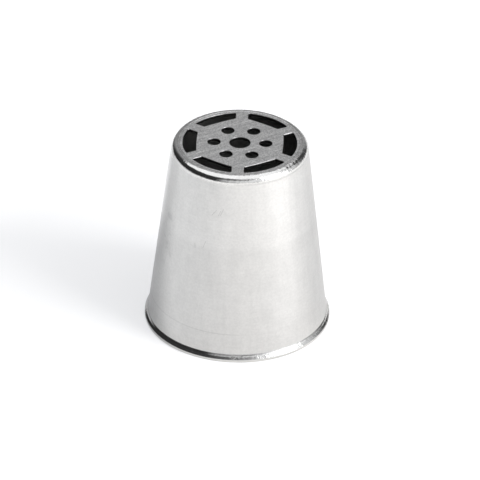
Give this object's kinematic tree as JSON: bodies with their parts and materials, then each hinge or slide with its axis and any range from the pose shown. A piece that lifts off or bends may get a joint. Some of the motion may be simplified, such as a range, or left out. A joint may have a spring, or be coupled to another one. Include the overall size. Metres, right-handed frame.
{
  "type": "piping nozzle",
  "caption": "Tapered stainless piping nozzle with a rolled base rim and a flat face pierced with round holes and edge slots for flower shapes.",
  "frame": {"origin": "middle of the base, on the plane that the rim stands on", "axes": "+Z along the nozzle's axis towards the pierced face, +X through the middle of one edge slot"},
  "size_m": [0.034, 0.034, 0.0366],
  "materials": {
    "shell_steel": "satin brushed wall, polished shoulder and rim",
    "plate_steel": "fine matt grain with light scratches",
    "weld_steel": "dull rippled weld bead"
  },
  "bodies": {
    "root": {"tapered_shell": "shell_steel", "face_plate": "plate_steel", "seam_weld": "weld_steel"}
  },
  "joints": []
}
